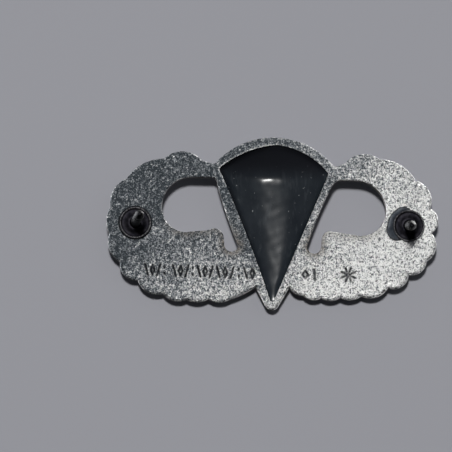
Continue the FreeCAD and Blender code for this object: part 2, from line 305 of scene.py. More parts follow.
# ---- punched marks and scratches
MARK_HEIGHT = 0.60  # half the height of a punched mark
STROKE = 0.110  # half the width of its strokes


def lozenge(x, z, wide, high):
    """The four strokes of an upright lozenge."""
    tips = [(x - wide, z), (x, z + high), (x + wide, z), (x, z - high)]
    return list(zip(tips, tips[1:] + tips[:1]))


def slant(x, z, lean):
    """One leaning stroke."""
    return [((x - lean, z - MARK_HEIGHT), (x + lean, z + MARK_HEIGHT))]


def dots(x, z):
    """Two short punches, one above the other."""
    gap = MARK_HEIGHT * 0.62
    return [((x, z + side * gap - 0.06), (x, z + side * gap + 0.06)) for side in (-1, 1)]


def mark_row(first, last, count, low, high):
    """Slants, lozenges and dots in turn along a row from one height to another."""
    strokes = []
    for i in range(count):
        share = i / max(count - 1, 1)
        x = first + (last - first) * share
        z = low + (high - low) * share
        kind = i % 4
        if kind in (0, 2):
            strokes += slant(x, z, 0.17 if kind == 0 else -0.17)
        elif kind == 1:
            strokes += lozenge(x, z, 0.22, MARK_HEIGHT * 0.9)
        else:
            strokes += dots(x, z)
    return strokes


def star(x, z, size):
    """Eight rays round a small lozenge."""
    strokes = lozenge(x, z, size * 0.3, size * 0.3)
    for i in range(8):
        turn = math.radians(45 * i + 22.5)
        reaches = (size * 0.5, size)
        strokes.append([(x + math.cos(turn) * r, z + math.sin(turn) * r) for r in reaches])
    return strokes


def punched():
    """All the strokes of the generic marks on the back of both wings."""
    strokes = mark_row(13.95, 11.95, 4, -5.20, -5.25)
    strokes += mark_row(10.85, 6.75, 7, -5.28, -5.38)
    strokes += mark_row(5.95, 2.15, 6, -5.40, -5.50)
    strokes += lozenge(-3.75, -5.55, 0.30, 0.42) + slant(-4.80, -5.60, 0.05)
    strokes += star(-8.55, -5.55, 0.80)
    return [(np.multiply(a, SCALE), np.multiply(b, SCALE)) for a, b in strokes]


SCRATCH_WIDTH = 0.07
DEEPEST_SCRATCH = 0.05
# each scratch's two ends and its strength beside the deepest one's
SCRATCHES = [((15.60, -3.10), (14.47, -1.90), 0.05), ((11.70, -2.30), (11.20, -1.70), 0.05),
             ((15.70, -4.50), (15.10, -3.70), 0.03), ((14.00, 2.50), (13.50, 2.90), 0.03),
             ((13.30, 2.75), (14.15, 2.15), 0.02), ((-7.20, -3.30), (-6.80, -2.95), 0.03)]


def stroke_points(start, end, offsets):
    """Rows of points along a stroke, at these distances to its left."""
    run = np.subtract(end, start)
    length = math.hypot(*run)
    ahead = run / length
    left = np.array([-ahead[1], ahead[0]])
    along = np.arange(-STROKE, length + STROKE, 0.07)[:, None] * ahead
    return np.concatenate([np.array(start) + along + left * side for side in offsets])


PUNCHED = punched()
SCRATCHED = [(np.multiply(a, SCALE), np.multiply(b, SCALE), depth) for a, b, depth in SCRATCHES]


def mark_points():
    """Extra points for the marks and scratches, so that their sides are sharp."""
    beside = (-0.16, -0.09, -0.04, 0.04, 0.09, 0.16)
    rows = [stroke_points(a, b, beside) for a, b in PUNCHED]
    rows += [stroke_points(a, b, (-SCRATCH_WIDTH, 0.0, SCRATCH_WIDTH)) for a, b, _ in SCRATCHED]
    return np.concatenate(rows)


def mark_depth(points):
    """Shares of a punched mark's depth, and of its raised lip's height, at each point."""
    nearest = np.full(len(points), FAR)
    for start, end in PUNCHED:
        nearest = np.minimum(nearest, to_segment(points, start, end))
    cut = 1 - ramp(nearest, STROKE * 0.6, STROKE * 1.5)
    lip = ridge(nearest - 0.20, 0.07)
    return cut, lip


def scratch_relief(points):
    """The share of the deepest scratch's depth at each point."""
    cut = np.zeros(len(points))
    for start, end, depth in SCRATCHED:
        near = to_segment(points, start, end)
        cut = np.maximum(cut, depth / DEEPEST_SCRATCH * ridge(near, SCRATCH_WIDTH))
    return cut


# ---- the two faces
def smooth_noise(points, size, seed):
    """Soft waves of about this size, mostly between -1 and 1 and the same on every run."""
    random = np.random.default_rng(seed)
    total = np.zeros(len(points))
    for _ in range(10):
        turn = random.uniform(0, 2 * math.pi)
        wave = 2 * math.pi / (size * random.uniform(0.6, 1.6))
        ahead = np.array([math.cos(turn), math.sin(turn)])
        total += np.sin(points @ ahead * wave + random.uniform(0, 6.28))
    return total / 5


def back_tone(points, gap, hollow, bevelled):
    """How light the silver is: darker up and towards +X, lighter down and towards -X. In the hollow, 0
    at its top, where the lining gets painted shade.
    """
    x, z = (points / SCALE).T
    tone = 0.37 - 0.026 * x - 0.034 * z + 0.05 * smooth_noise(points, 5.0, 12)
    tone += 0.06 * ridge(np.abs(x) - 12.5, 3.5) + 0.10 * ramp(z, 7.3, 8.8)
    # painted shade: the rolled-off rim of the outline, widest along the lower edges, is darkened
    tone -= 0.10 * ramp(bevelled, 0.0, 0.06)
    tone -= ridge(gap, 1.5) * ramp(-z, -6.5, -5.0) * (0.10 + 0.17 * ramp(x, 0.0, 3.0))
    # in the hollow: painted shade, 0 above z 7.0 and 1 below z 4.6
    return np.where(hollow, 1 - ramp(z, 4.6, 7.0), np.clip(tone, 0.07, 0.80))


def back_face(points):
    """The height of the sandy back and the smooth hollow in it, and the attributes its metals use."""
    x, z = (points / SCALE).T
    edge = distance_to(EDGE_TREE, points)
    gap = distance_to(RECESS_TREE, points)
    hollow = within(points, RECESS)
    cut, burr = mark_depth(points)
    scratch = scratch_relief(points)
    rolled_off = 0.06 + 0.24 * ramp(-points[:, 1], 0.0, 3.5)
    bevelled = np.clip(rolled_off - distance_to(OUTLINE_TREE, points), 0, None)
    # painted highlight: a bright line just outside the hollow's rim, strongest at its upper +X side
    painted_rim_highlight = ridge(gap, 0.14) * ~hollow * ramp(x, -1.5, 1.5) * ramp(z, 3.5, 5.5)
    loops = np.minimum(*(distance_to(tree_of(loop), points) for loop in LOOPS[1:]))
    waves = 0.012 * smooth_noise(points, 3.0, 5) + 0.006 * smooth_noise(points, 0.9, 6)
    height = waves - 0.8 * fallen(edge, BACK_ROUNDING) - 0.50 * bevelled
    height += RANDOM.normal(0, 0.0035, len(points)) - 0.13 * cut + 0.02 * burr - 0.03 * scratch
    height -= 0.4 * fallen(gap, HOLLOW_ROUNDING)
    floor = -hollow_depth(points, gap) - 0.06 + 0.004 * smooth_noise(points, 1.3, 8)
    return np.where(hollow, floor, height), {
        "tone": back_tone(points, gap, hollow, bevelled),
        "cut": cut,
        "scratch": np.clip(scratch + 0.4 * burr, 0, 1),
        # edge: lighter along every edge, and a painted highlight along the outside of the hollow's rim
        "edge": ridge(edge, 0.16) + ridge(gap, 0.10) * ~hollow + 2.5 * painted_rim_highlight,
        "warm": ridge(loops, 0.6) * ramp(-z, -1.0, 2.5),
        "cavity": np.zeros(len(points)),
    }


def feather_place(q, a, b, c, d):
    """Each point's place in the field a-b-c-d: along a-b, across a-d, the field's width, if inside."""
    a, b, c, d = map(np.array, (a, b, c, d))
    along = np.full(len(q), 0.5)
    across = np.full(len(q), 0.5)
    twist = a - b + c - d
    for _ in range(9):
        miss = a + along[:, None] * (b - a) + across[:, None] * (d - a) - q
        miss += (along * across)[:, None] * twist
        du = (b - a) + across[:, None] * twist
        dv = (d - a) + along[:, None] * twist
        det = du[:, 0] * dv[:, 1] - du[:, 1] * dv[:, 0]
        det = np.where(np.abs(det) < 1e-6, 1e-6, det)
        along = np.clip(along - (miss[:, 0] * dv[:, 1] - miss[:, 1] * dv[:, 0]) / det, -2, 3)
        across = np.clip(across - (du[:, 0] * miss[:, 1] - du[:, 1] * miss[:, 0]) / det, -2, 3)
    found = np.hypot(*miss.T) < 0.02
    inside = found & (along > -0.2) & (along < 1.5) & (across >= 0) & (across <= 1)
    width = np.hypot(*(((d - a) + along[:, None] * twist).T))
    return along, across, width, inside


OUTER_BARBS = 0.46  # spacing of the barbs on the two rows of feathers
INNER_BARBS = 0.36


def vane(along, across, width, length, pitch):
    """One feather's relief: a domed vane, a groove each side, a quill and slanting barbs."""
    dome = 1 - (2 * across - 1) ** 2
    side = np.minimum(across, 1 - across) * width
    middle = np.abs(across - 0.5) * width
    barbs = np.sin(2 * math.pi * (along * length + 1.1 * middle) / pitch)
    relief = 0.13 * dome - 0.17 * ridge(side, 0.15) + 0.075 * ridge(middle, 0.10)
    return relief + 0.022 * barbs * ramp(middle, 0.08, 0.22) * ramp(side, 0.05, 0.25)


def feathers(q, tips, roots):
    """Relief of one wing's two rows of feathers above the plate, far below it outside them."""
    relief = np.full(len(q), -FAR)
    off_middle = np.full(len(q), FAR)
    for i in range(len(roots) - 1):
        corners = (roots[i], tips[i], tips[i + 1], roots[i + 1])
        along, across, width, inside = feather_place(q, *corners)
        length = math.dist(roots[i], tips[i])
        dome = 1 - (2 * across - 1) ** 2
        outer = vane(along, across, width, length, OUTER_BARBS) - 0.12 * ramp(along, 0.85, 1.2)
        limit = COVERT_REACH + 0.42 / length * dome
        step = ramp((limit - along) * length, 0.0, 0.14)
        inner = vane(along, across, width, length, INNER_BARBS)
        inner += COVERT_RISE + 0.10 * ramp(along, 0.1, 0.5)
        value = outer + (inner - outer) * step - 0.08 * ridge((limit - along) * length, 0.09)
        better = inside & (np.abs(across - 0.5) < off_middle)
        relief = np.where(better, value, relief)
        off_middle = np.where(better, np.abs(across - 0.5), off_middle)
    return relief


SCALE_ROW = 0.62  # width of a row of the arm's scales
SCALES_PER_RADIAN = 6.2


def arm(points, corners, middle):
    """The wing's arm: a rounded band covered in small overlapping scales."""
    outline = loop_points(corners, FINE * 2)
    depth = distance_to(tree_of(outline), points)
    inside = within(points, outline)
    x, z = (points - np.multiply(middle, SCALE)).T
    row = np.hypot(x, z) / SCALE_ROW
    share = row - np.floor(row)
    across = np.arctan2(z, x) * SCALES_PER_RADIAN + 0.5 * (np.floor(row) % 2)
    across = 2 * (across - np.floor(across)) - 1
    scales = (1 - share) * 0.09 * (1 - 0.8 * across ** 2) - 0.05 * ridge(share - 1, 0.12)
    bulge = 1 - (1 - np.clip(depth / 1.1, 0, 1)) ** 2
    rise = (ARM_RISE - 0.08) * ramp(depth, 0.0, 0.22) + 0.14 * bulge + scales * ramp(depth, 0.1, 0.35)
    return np.where(inside, rise, -FAR)


RIM = loop_points(RECESS_EDGE, FINE)
RIM_CENTRE = np.multiply(RECESS_CENTRE, SCALE)


def crown_share(points):
    """How large a copy of the hollow's outline, scaled about its centre, passes through each point."""
    rim = RIM - RIM_CENTRE
    turn = np.arctan2(rim[:, 1], rim[:, 0])
    order = np.argsort(turn)
    away = points - RIM_CENTRE
    heading = np.arctan2(away[:, 1], away[:, 0])
    limit = np.interp(heading, turn[order], np.hypot(*rim[order].T), period=2 * math.pi)
    return np.hypot(*away.T) / limit


def canopy(points):
    """The open canopy: domed gores above a scalloped skirt, and raised lines below it."""
    share = crown_share(points)
    rise = (CANOPY_RISE - 0.22) * np.sqrt(np.clip(1 - (share / CANOPY_SHARE) ** 2.6, 0, 1))
    away = points / SCALE - np.array(POINT)
    reach = np.hypot(*away.T)
    angle = np.degrees(np.arctan2(away[:, 0], away[:, 1]))
    number = np.interp(angle, SEAM_ANGLES, np.arange(len(SEAM_ANGLES)))
    phase = number - np.floor(number)
    dome = 1 - (2 * phase - 1) ** 2
    off_seam = np.minimum(phase, 1 - phase) * np.radians(GORE_ANGLE) * reach
    skirt = SKIRT_REACH + 0.45 * dome
    cloth = ramp(reach, skirt - 0.05, skirt + 0.08)
    panel = sum(ridge(reach - seam, 0.07) for seam in PANEL_SEAMS)
    gores = 0.22 * dome ** 0.6 - 0.10 * ridge(off_seam, 0.11) - 0.035 * panel
    hem = 0.05 * ridge(reach - skirt - 0.22, 0.12)
    cords = 0.24 * np.sqrt(np.clip(1 - (off_seam / 0.20) ** 2, 0, 1))
    below = cords - 0.24 + 0.22 * ramp(-reach, -3.2, -1.6)
    inside = 1 - ramp(share, 1.06, CANOPY_SHARE)
    relief = rise + inside * (cloth * (gores + hem) + (1 - cloth) * below)
    return np.where(share < CANOPY_SHARE, relief, -FAR)


def front_relief(points):
    """Thickness of the badge at each point, from the plane of its back to its front."""
    q = points / SCALE
    wings = np.maximum(feathers(q, RIGHT_TIPS, RIGHT_ROOTS), feathers(q, LEFT_TIPS, LEFT_ROOTS))
    arms = arm(points, RIGHT_ARM, RIGHT_ARM_MIDDLE)
    arms = np.maximum(arms, arm(points, LEFT_ARM, LEFT_ARM_MIDDLE))
    ground = -0.06 + 0.008 * smooth_noise(points, 0.5, 21)
    relief = np.maximum(np.maximum(wings, arms), np.maximum(ground, canopy(points)))
    return PLATE + relief - 0.85 * fallen(distance_to(EDGE_TREE, points), FRONT_ROUNDING)


CAVITY_STEP = 0.12
CAVITY_REACH = 4  # steps to either side that the mean is taken over


def cavity_field():
    """How far each place on the front lies below the mean of what is round it, on a grid."""
    low, high = LOOPS[0].min(0) - 1, LOOPS[0].max(0) + 1
    x, z = np.meshgrid(np.arange(low[0], high[0], CAVITY_STEP), np.arange(low[1], high[1], CAVITY_STEP))
    points = np.stack([x.ravel(), z.ravel()], 1)
    relief = front_relief(points)
    metal = in_metal(points)
    relief = np.where(metal, relief, PLATE - 0.1).reshape(x.shape)
    mean = relief
    for axis in (0, 1):
        shifts = range(-CAVITY_REACH, CAVITY_REACH + 1)
        mean = sum(np.roll(mean, shift, axis) for shift in shifts) / len(shifts)
    return low, mean - relief


def front_face(points):
    """The front's height at each point, and its attributes."""
    relief = front_relief(points) + RANDOM.normal(0, 0.0025, len(points))
    low, values = cavity_field()
    cavity = sampled(low, values, CAVITY_STEP, points)
    none = np.zeros(len(points))
    return -relief, {
        "tone": none + 0.6,
        "cut": none,
        "scratch": none,
        "edge": ridge(distance_to(EDGE_TREE, points), 0.2),
        "warm": none,
        "cavity": np.clip(0.5 + cavity / 0.30, 0, 1),
    }


# ---- meshes
def face_points(extra):
    """The edges' points first, then the extra ones and a field of points between them."""
    first = np.concatenate(LOOPS + extra)
    taken = tree_of(first)
    field = grid(STEP)
    field = field[in_metal(field)]
    field = field[distance_to(EDGE_TREE, field) > EDGE_RINGS[0]]
    field = field[distance_to(taken, field) > STEP * FIELD_GAP]
    return np.concatenate([first, field])


def loop_edges(start, count):
    """The edges of a closed loop of points that follow each other."""
    return [(start + i, start + (i + 1) % count) for i in range(count)]


def triangles(points, edges, inside):
    """Triangles that keep to the given edges and lie inside, anticlockwise from the front."""
    flat = [Vector(point) for point in points]
    places, _, faces, *_ = delaunay_2d_cdt(flat, edges, [], 0, MERGE)
    if len(places) != len(points):
        raise ValueError("two points of an outline fall together")
    faces = np.array([face for face in faces if len(face) == 3])
    return faces[inside(points[faces].mean(1))]


def thinned(points, gap):
    """The points without those that come too close to an earlier one."""
    tree = tree_of(points)
    kept = np.ones(len(points), bool)
    for i, (x, z) in enumerate(points):
        if kept[i]:
            for _, other, _ in tree.find_range((x, z, 0), gap):
                if other > i:
                    kept[other] = False
    return points[kept]


def clear_rows(rows, *trees):
    """The rows' points that lie in the metal, clear of each other and of the trees' points."""
    rows = thinned(np.concatenate(rows), ROW_GAP)
    clear = in_metal(rows)
    for tree in trees:
        clear &= distance_to(tree, rows) > EDGE_GAP
    return rows[clear]


def back_rows():
    """The extra points of the back: along its edges and its hollow, and at its marks and scratches."""
    rows = [mark_points()]
    rows += [ring(RECESS, RECESS_TREE, offset) for offset in RECESS_RINGS]
    rows += [ring(RECESS, RECESS_TREE, -offset) for offset in RECESS_OUTER_RINGS]
    return [RECESS, clear_rows(rows + [edge_rings()], RECESS_TREE, EDGE_TREE)]


def band(upper, lower):
    """Faces between two closed rows of points, given by their numbers."""
    return np.stack([upper, lower, np.roll(lower, -1), np.roll(upper, -1)], 1)


WALL_ROWS = 4
WALL_DATA = 0.4  # every attribute's value on the walls


def raised(points, y):
    """Points of the plane at these heights above it."""
    return np.stack([points[:, 0], y, points[:, 1]], 1)


def badge_mesh():
    """The whole body as one closed mesh: back, front and the walls between them."""
    back_xz = face_points(back_rows())
    front_xz = face_points([clear_rows([edge_rings()], EDGE_TREE)])
    counts = [len(loop) for loop in LOOPS]
    starts = [0, counts[0], counts[0] + counts[1]]
    edges = sum((loop_edges(s, c) for s, c in zip(starts, counts)), [])
    hollow_edges = loop_edges(sum(counts), len(RECESS))
    back_faces = triangles(back_xz, edges + hollow_edges, in_metal)
    front_faces = triangles(front_xz, edges, in_metal)
    back_y, back_data = back_face(back_xz)
    front_y, front_data = front_face(front_xz)
    shift = len(back_xz)
    places = [raised(back_xz, back_y), raised(front_xz, front_y)]
    total = len(back_xz) + len(front_xz)
    quads = []
    for number, (start, count) in enumerate(zip(starts, counts)):
        here = np.arange(start, start + count)
        rows = [here]
        for row in range(1, WALL_ROWS):
            y = back_y[here] + (front_y[here] - back_y[here]) * row / WALL_ROWS
            places.append(raised(back_xz[here], y))
            rows.append(np.arange(total, total + count))
            total += count
        rows.append(here + shift)
        for upper, lower in zip(rows, rows[1:]):
            quad = band(upper, lower)
            quads.append(quad if number == 0 else quad[:, ::-1])
    quads = np.concatenate(quads)
    faces = back_faces[:, ::-1].tolist() + (front_faces + shift).tolist() + quads.tolist()
    floor = within(back_xz[back_faces].mean(1), RECESS)
    kinds = np.concatenate([floor.astype(int), np.full(len(front_faces), 2), np.full(len(quads), 3)])
    walls = np.full(total - len(back_xz) - len(front_xz), WALL_DATA)
    data = {name: np.concatenate([back_data[name], front_data[name], walls]) for name in back_data}
    return np.concatenate(places), faces, kinds, data


def new_piece(name, places, faces, materials, kinds=None, data=None):
    """A smooth closed mesh in metres that rides with the badge."""
    mesh = bpy.data.meshes.new(name)
    mesh.from_pydata((np.asarray(places) * MM).tolist(), [], faces)
    for material in materials:
        mesh.materials.append(material)
    mesh.polygons.foreach_set("use_smooth", np.ones(len(mesh.polygons), bool))
    if kinds is not None:
        mesh.polygons.foreach_set("material_index", kinds.astype(np.int32))
    for key, values in (data or {}).items():
        layer = mesh.attributes.new(key, "FLOAT", "POINT")
        layer.data.foreach_set("value", values.astype(np.float32))
    mesh.update()
    piece = bpy.data.objects.new(name, mesh)
    bpy.context.scene.collection.objects.link(piece)
    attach(piece, "root")
    return piece


# ---- materials
class Nodes:
    """A node tree and short ways to add nodes to it."""

    def __init__(self, tree):
        self.tree = tree

    def node(self, kind, **inputs):
        """A node with its inputs set, or linked where the value is a socket. Keys use _ for a space."""
        node = self.tree.nodes.new(kind)
        for key, value in inputs.items():
            self.feed(node.inputs[key.replace("_", " ")], value)
        return node

    def feed(self, socket, value):
        """Links a socket to another, or sets its value. A colour is three numbers."""
        if isinstance(value, bpy.types.NodeSocket):
            self.tree.links.new(value, socket)
        else:
            socket.default_value = (*value, 1) if socket.type == "RGBA" else value

    def maths(self, operation, a, b, clamp=False):
        """One arithmetic step."""
        node = self.tree.nodes.new("ShaderNodeMath")
        node.operation = operation
        node.use_clamp = clamp
        self.feed(node.inputs[0], a)
        self.feed(node.inputs[1], b)
        return node.outputs[0]

    def stretch(self, value, low, high, to_low=0.0, to_high=1.0):
        """The value from low to high, mapped and clamped to the new range."""
        ends = {"From_Min": low, "From_Max": high, "To_Min": to_low, "To_Max": to_high}
        return self.node("ShaderNodeMapRange", Value=value, **ends).outputs["Result"]

    def colours(self, value, stops):
        """A colour ramp over a value: stops are positions and linear colours."""
        node = self.node("ShaderNodeValToRGB", Fac=value)
        elements = node.color_ramp.elements
        while len(elements) < len(stops):
            elements.new(0.5)
        for element, (position, colour) in zip(elements, stops):
            element.position = position
            element.color = (*colour, 1)
        return node.outputs["Color"]

    def either(self, share, a, b):
        """Shader a and shader b, mixed by share."""
        node = self.tree.nodes.new("ShaderNodeMixShader")
        for socket, value in zip(node.inputs, (share, a, b)):
            self.feed(socket, value)
        return node.outputs[0]


class Shader(Nodes):
    """A material and short ways to build it."""

    def __init__(self, name):
        self.material = bpy.data.materials.new(name)
        self.material.use_nodes = True
        super().__init__(self.material.node_tree)
        self.surface = self.tree.nodes["Principled BSDF"]
        self.place = self.tree.nodes.new("ShaderNodeTexCoord").outputs["Object"]

    def noise(self, size, detail=3.0, rough=0.6, place=None):
        """Noise with features of about this many millimetres."""
        settings = {"Scale": 1 / (size * MM), "Detail": detail, "Roughness": rough}
        spot = self.place if place is None else place
        return self.node("ShaderNodeTexNoise", Vector=spot, **settings).outputs["Fac"]

    def stretched(self, x, y, z):
        """The object's coordinates drawn out along an axis, for brushed marks."""
        return self.node("ShaderNodeMapping", Vector=self.place, Scale=(x, y, z)).outputs["Vector"]

    def attribute(self, name):
        """One of the mesh's own numbers."""
        node = self.tree.nodes.new("ShaderNodeAttribute")
        node.attribute_name = name
        return node.outputs["Fac"]

    def add(self, a, b, clamp=False):
        """The sum of two values."""
        return self.maths("ADD", a, b, clamp)

    def times(self, a, b):
        """The product of two values."""
        return self.maths("MULTIPLY", a, b)

    def off_middle(self, value, share):
        """How far a noise is from its middle, times a share."""
        return self.times(self.maths("SUBTRACT", value, 0.5), share)

    def mix(self, share, a, b):
        """Colour a and colour b, mixed by share."""
        node = self.tree.nodes.new("ShaderNodeMix")
        node.data_type = "RGBA"
        self.feed(node.inputs["Factor"], share)
        self.feed(node.inputs[6], a)
        self.feed(node.inputs[7], b)
        return node.outputs[2]

    def bump(self, height, distance, strength=1.0, normal=None):
        """A bump of this many millimetres."""
        node = self.node("ShaderNodeBump", Height=height, Distance=distance * MM, Strength=strength)
        if normal is not None:
            self.tree.links.new(normal, node.inputs["Normal"])
        return node.outputs["Normal"]

    def finish(self, colour, roughness, metal, normal=None):
        """Feeds the surface's main inputs."""
        self.feed(self.surface.inputs["Base Color"], colour)
        self.feed(self.surface.inputs["Roughness"], roughness)
        self.surface.inputs["Metallic"].default_value = metal
        if normal is not None:
            self.feed(self.surface.inputs["Normal"], normal)
        return self.material


# the darkest silver: the colour of the specks and pits, and of the dark end of the back's gradient
DARK_BLUE_GREY = (0.050, 0.060, 0.070)
DULL = (0.26, 0.28, 0.30)
SILVER = (0.66, 0.66, 0.655)
BRIGHT = (0.97, 0.97, 0.96)
WARM_STAIN = (0.16, 0.13, 0.10)
BLACKENED = (0.018, 0.019, 0.022)
SHADED_HOLLOW = (0.010, 0.011, 0.014)
SCUFFED_HOLLOW = (0.08, 0.09, 0.10)
PAINTED_HOLLOW_GLINT = (0.25, 0.26, 0.27)
WORN_POST = (0.24, 0.24, 0.25)
WORN_SOLDER = (0.16, 0.165, 0.17)


def back_silver():
    """The sandy back: dark blue-grey up and towards +X, bright silver with dark specks below."""
    s = Shader("silver_back")
    grain = s.stretch(s.noise(0.46, 6.0, 0.76), 0.38, 0.62, -0.5, 0.5)
    fine = s.stretch(s.noise(0.18, 2.0, 0.6), 0.34, 0.66, -0.5, 0.5)
    clouds = s.stretch(s.noise(2.4, 3.0, 0.55), 0.30, 0.70, -0.5, 0.5)
    contrast = s.stretch(s.attribute("tone"), 0.1, 0.8, 0.56, 0.85)
    swing = s.times(s.add(grain, fine), contrast)
    tone = s.add(s.attribute("tone"), swing)
    tone = s.add(tone, s.times(clouds, 0.16))
    tone = s.add(tone, s.times(s.attribute("scratch"), 0.45))
    # lighter along the edges, with the painted highlight along the hollow's rim
    tone = s.add(tone, s.times(s.attribute("edge"), 0.20), clamp=True)
    colour = s.colours(tone, [(0.0, DARK_BLUE_GREY), (0.32, DULL), (0.62, SILVER), (0.88, BRIGHT)])
    stain = s.times(s.attribute("warm"), s.stretch(grain, -0.3, 0.3, 0.2, 0.9))
    colour = s.mix(stain, colour, WARM_STAIN)
    specks = s.stretch(s.noise(0.27, 1.0, 0.4), 0.61, 0.67)
    pits = s.stretch(s.noise(0.60, 2.0, 0.5), 0.66, 0.72)
    colour = s.mix(s.times(specks, 0.85), colour, DARK_BLUE_GREY)
    colour = s.mix(s.times(pits, 0.75), colour, DARK_BLUE_GREY)
    cut = s.times(s.attribute("cut"), s.stretch(fine, -0.5, 0.2, 0.55, 1.0))
    colour = s.mix(cut, colour, BLACKENED)
    rough = s.stretch(tone, 0.1, 0.9, 0.58, 0.40)
    normal = s.bump(fine, 0.026, 1.0, s.bump(grain, 0.048, 1.0))
    return s.finish(colour, rough, 1.0, normal)


def hollow_metal():
    """The smooth dark lining of the hollow, darker at its top with painted shade, with faint scuffs and
    bright specks that are painted glints of small dents.
    """
    s = Shader("blued_hollow")
    brushed = s.noise(0.6, 4.0, 0.6, s.stretched(1.0, 1.0, 0.2))
    specks = s.stretch(s.noise(0.30, 1.0, 0.4), 0.75, 0.80)
    clouds = s.noise(2.0, 3.0, 0.5)
    colour = s.colours(clouds, [(0.30, (0.011, 0.014, 0.018)), (0.70, (0.018, 0.022, 0.027))])
    colour = s.mix(s.stretch(brushed, 0.55, 0.75, 0.0, 0.25), colour, SCUFFED_HOLLOW)
    # painted glints: bright specks standing for small dents that catch the light
    colour = s.mix(s.times(specks, 0.6), colour, PAINTED_HOLLOW_GLINT)
    # painted shade: the hollow's upper part turns to SHADED_HOLLOW
    colour = s.mix(s.attribute("tone"), SHADED_HOLLOW, colour)
    rough = s.stretch(clouds, 0.3, 0.7, 0.18, 0.19)
    normal = s.bump(brushed, 0.003, 0.5, s.bump(s.noise(0.35, 2.0), 0.002, 0.6))
    s.surface.inputs["Specular IOR Level"].default_value = 0.12
    return s.finish(colour, rough, 0.0, normal)


def front_silver():
    """The worn decorated front: bright on the high places, blackened in the low ones."""
    s = Shader("silver_front")
    grain = s.noise(0.25, 3.0, 0.6)
    clouds = s.noise(3.0, 3.0, 0.5)
    low = s.add(s.attribute("cavity"), s.off_middle(grain, 0.35))
    low = s.add(low, s.off_middle(clouds, 0.25), clamp=True)
    colour = s.colours(low, [(0.30, (0.80, 0.79, 0.77)), (0.50, (0.56, 0.555, 0.54)),
                             (0.66, (0.16, 0.155, 0.15)), (0.85, (0.028, 0.028, 0.030))])
    rough = s.stretch(low, 0.3, 0.8, 0.24, 0.55)
    normal = s.bump(grain, 0.010, 0.6)
    return s.finish(colour, rough, 1.0, normal)


def wall_silver():
    """The walls of the edge and the loops: dull, warm and a little streaked, their dark colour partly
    their own and partly painted shade.
    """
    s = Shader("silver_wall")
    streaks = s.noise(0.3, 3.0, 0.6, s.stretched(1.0, 0.3, 1.0))
    # dark colours: partly the walls' own dull metal, partly painted shade
    colour = s.colours(streaks, [(0.35, (0.050, 0.042, 0.044)), (0.65, (0.20, 0.182, 0.182))])
    normal = s.bump(streaks, 0.015, 0.6)
    return s.finish(colour, s.stretch(streaks, 0.3, 0.7, 0.45, 0.6), 1.0, normal)


def post_metal():
    """The almost black posts and discs: satin, with a little grey wear on the rims and the tips."""
    s = Shader("blackened_post")
    wear = s.noise(0.5, 4.0, 0.65)
    fine = s.noise(0.16, 2.0)
    colour = s.colours(wear, [(0.38, (0.005, 0.005, 0.007)), (0.72, (0.021, 0.020, 0.024))])
    worn = s.times(s.attribute("worn"), s.stretch(fine, 0.42, 0.60, 0.10, 1.0))
    colour = s.mix(worn, colour, WORN_POST)
    rough = s.stretch(fine, 0.3, 0.7, 0.48, 0.60)
    normal = s.bump(fine, 0.012, 0.6, s.bump(wear, 0.02, 0.5))
    return s.finish(colour, rough, 1.0, normal)


def solder_metal():
    """Dark heat-stained solder, smooth and bluish, greyer where it thins out."""
    s = Shader("stained_solder")
    wear = s.noise(0.6, 3.0, 0.6)
    fine = s.noise(0.15, 2.0)
    colour = s.colours(wear, [(0.35, (0.006, 0.0075, 0.010)), (0.72, (0.022, 0.025, 0.030))])
    worn = s.times(s.attribute("worn"), s.stretch(fine, 0.42, 0.62, 0.0, 0.3))
    colour = s.mix(worn, colour, WORN_SOLDER)
    rough = s.stretch(fine, 0.3, 0.7, 0.42, 0.55)
    return s.finish(colour, rough, 1.0, s.bump(fine, 0.012, 0.6))


# ---- posts
POST_METAL = post_metal()
SOLDER_METAL = solder_metal()
TURNS = 72  # points round every turned piece


def turned(profile, lean=(0.0, 0.0), lean_from=0.0, lean_height=1.0):
    """Points and faces of a shape turned about the post's axis, leaning from a height on its way up."""
    angle = np.arange(TURNS) * 2 * math.pi / TURNS
    places = []
    for radius, height in profile:
        share = max(0.0, height - lean_from) / lean_height
        x = radius * np.cos(angle) + lean[0] * share
        z = radius * np.sin(angle) + lean[1] * share
        places.append(np.stack([x, np.full(TURNS, height), z], 1))
    faces = []
    for row in range(len(profile) - 1):
        a = row * TURNS + np.arange(TURNS)
        faces += band(a, a + TURNS).tolist()
    last = (len(profile) - 1) * TURNS
    faces.append(list(range(TURNS)))
    faces.append(list(range(last, last + TURNS))[::-1])
    return np.concatenate(places), faces


def quarter(radius, height, size, steps):
    """A rounded shoulder inside the corner at this radius and height, from the side to the top."""
    turn = np.radians(np.linspace(0, 90, steps))
    return [(radius - size + size * math.cos(t), height - size + size * math.sin(t)) for t in turn]


def post_axis(node):
    """Where a post stands: the x of the middle of its node's box, in millimetres."""
    low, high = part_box(node)
    return (low.x + high.x) / 2 / MM


def post_piece(node, name, places, faces, worn):
    """A disc or a pin of the posts' metal, on its axis and in place of its node."""
    piece = new_piece(name, places + [post_axis(node), 0, 0], faces, [POST_METAL], data={"worn": worn})
    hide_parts(node)


DISC_PLATE = 0.32  # height of the disc's floor
DISC_RIM = 0.44  # and of its rim
RIM_INSET = 0.13  # from the disc's edge to the inside of its rim's top
# the cone of metal from the disc's floor up to the pin
CONE = [(1.45, 0.0), (1.32, 0.010), (1.18, 0.035), (1.04, 0.085), (0.92, 0.130)]


